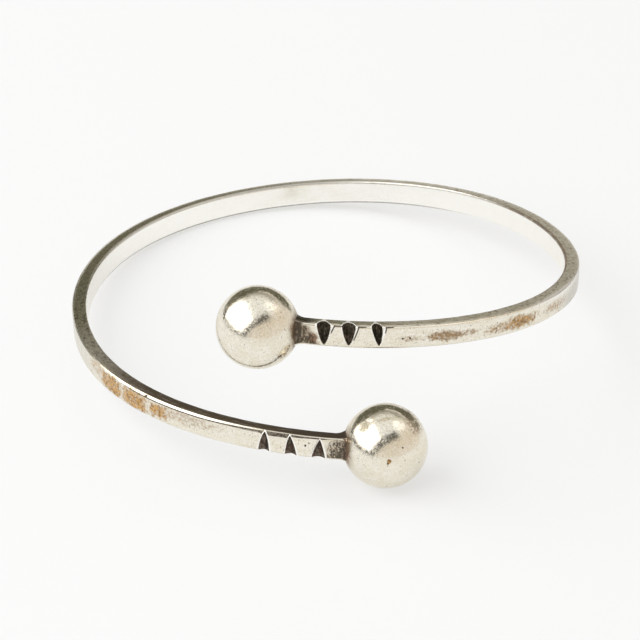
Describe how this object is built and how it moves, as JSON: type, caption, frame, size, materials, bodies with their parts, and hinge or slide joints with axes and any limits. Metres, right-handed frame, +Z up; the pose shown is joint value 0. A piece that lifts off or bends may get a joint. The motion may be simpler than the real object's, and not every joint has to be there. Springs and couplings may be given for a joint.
{
  "type": "crossover cuff bangle",
  "caption": "Open crossover bangle of one flat strip wound round the wrist, with a hollow ball soldered to each end and V notches filed beside the balls.",
  "frame": {"origin": "middle of the outline's box, on the surface that the bangle rests on", "axes": "+Z up as the bangle lies by itself, -Y to the front where the two ends cross, +X to the right as seen from the front, where the lower ball is"},
  "size_m": [0.0642, 0.0736, 0.0261],
  "materials": {
    "silver": "worn, softly polished silver with fine scratches, dark tarnish in the notches and at the solder, and brown stains"
  },
  "bodies": {
    "root": {"bangle": "silver"}
  },
  "joints": []
}
